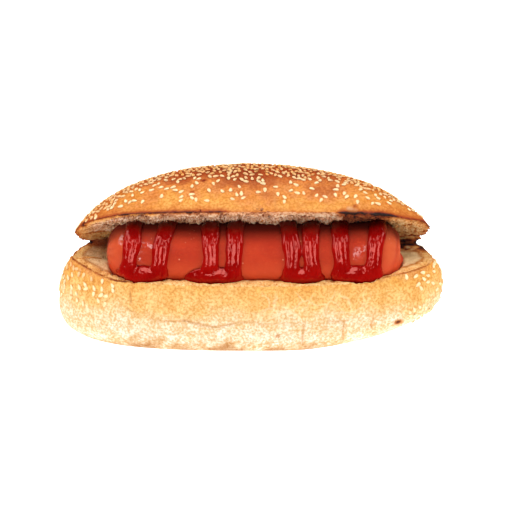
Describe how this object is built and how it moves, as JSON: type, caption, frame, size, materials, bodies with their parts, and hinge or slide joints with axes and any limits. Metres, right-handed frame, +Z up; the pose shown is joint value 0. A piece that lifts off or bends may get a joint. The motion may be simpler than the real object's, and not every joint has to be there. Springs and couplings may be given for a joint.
{
  "type": "hot dog",
  "caption": "Hot dog: a hinged sesame bun with golden crust, a thick smooth frankfurter lying in its cut and a zigzag of ketchup over the frankfurter.",
  "frame": {"origin": "under the middle of the bun, on the surface that it stands on", "axes": "+X runs along the bun towards the end that baked clear of the tray, -Y is the open front, +Z is up"},
  "size_m": [0.18, 0.07, 0.079],
  "materials": {
    "bun": "baked crust, golden on top and cream at the foot, with soft pale crumb in the cut",
    "sausage": "smooth moist skin",
    "ketchup": "wet and glossy"
  },
  "bodies": {
    "root": {"bun": "bun", "sausage": "sausage", "ketchup": "ketchup"}
  },
  "joints": []
}
